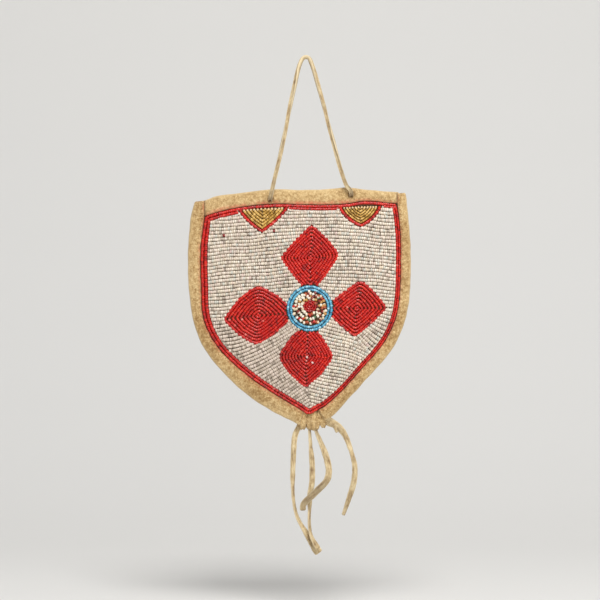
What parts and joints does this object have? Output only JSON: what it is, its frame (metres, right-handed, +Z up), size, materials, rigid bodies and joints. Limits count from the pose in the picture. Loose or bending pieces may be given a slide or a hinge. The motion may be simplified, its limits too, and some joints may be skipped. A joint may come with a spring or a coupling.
{
  "type": "beaded medicine bag",
  "caption": "Flat hide pouch in the shape of a shield, its front beaded in petals around a ring, with a hanging thong and a hide fringe.",
  "frame": {"origin": "inside of the thong's loop, where a peg carries the hanging bag", "axes": "+Z up along the hanging bag, -Y out of its beaded front, +X to the right as seen from the front"},
  "size_m": [0.1382, 0.0268, 0.3097],
  "materials": {
    "tan_hide": "smoked brain-tanned hide, matt and mottled",
    "inner_hide": "matt hide under the beadwork",
    "thong_hide": "pale matt hide thong",
    "white_glass": "chalky white glass seed beads",
    "red_glass": "glossy red glass seed beads",
    "gold_glass": "amber gold glass seed beads",
    "light_blue_glass": "light blue glass seed beads",
    "mixed_glass": "mixed glass seed beads, mostly cream"
  },
  "bodies": {
    "root": {"front_panel": "inner_hide", "back_panel": "tan_hide", "left_binding": "tan_hide", "right_binding": "tan_hide", "front_mouth_binding": "tan_hide", "back_mouth_binding": "tan_hide", "tip_gather": "tan_hide", "tip_tab": "tan_hide", "border_rows": "red_glass", "petal_top": "red_glass", "petal_left": "red_glass", "petal_right": "red_glass", "petal_bottom": "red_glass", "centre_ring": "light_blue_glass", "centre_rosette": "mixed_glass", "rosette_core": "red_glass", "triangle_left_edge_row": "red_glass", "triangle_left_gold": "gold_glass", "triangle_right_edge_row": "red_glass", "triangle_right_gold": "gold_glass", "white_rows_upper": "white_glass", "white_rows_lower_left": "white_glass", "white_rows_lower_right": "white_glass", "white_rows_right_fan": "white_glass", "hang_thong": "thong_hide", "thong_knot_left": "thong_hide", "thong_knot_right": "thong_hide", "fringe_strip_1": "thong_hide", "fringe_strip_2": "thong_hide", "fringe_strip_3": "thong_hide", "fringe_strip_4": "thong_hide"}
  },
  "joints": []
}
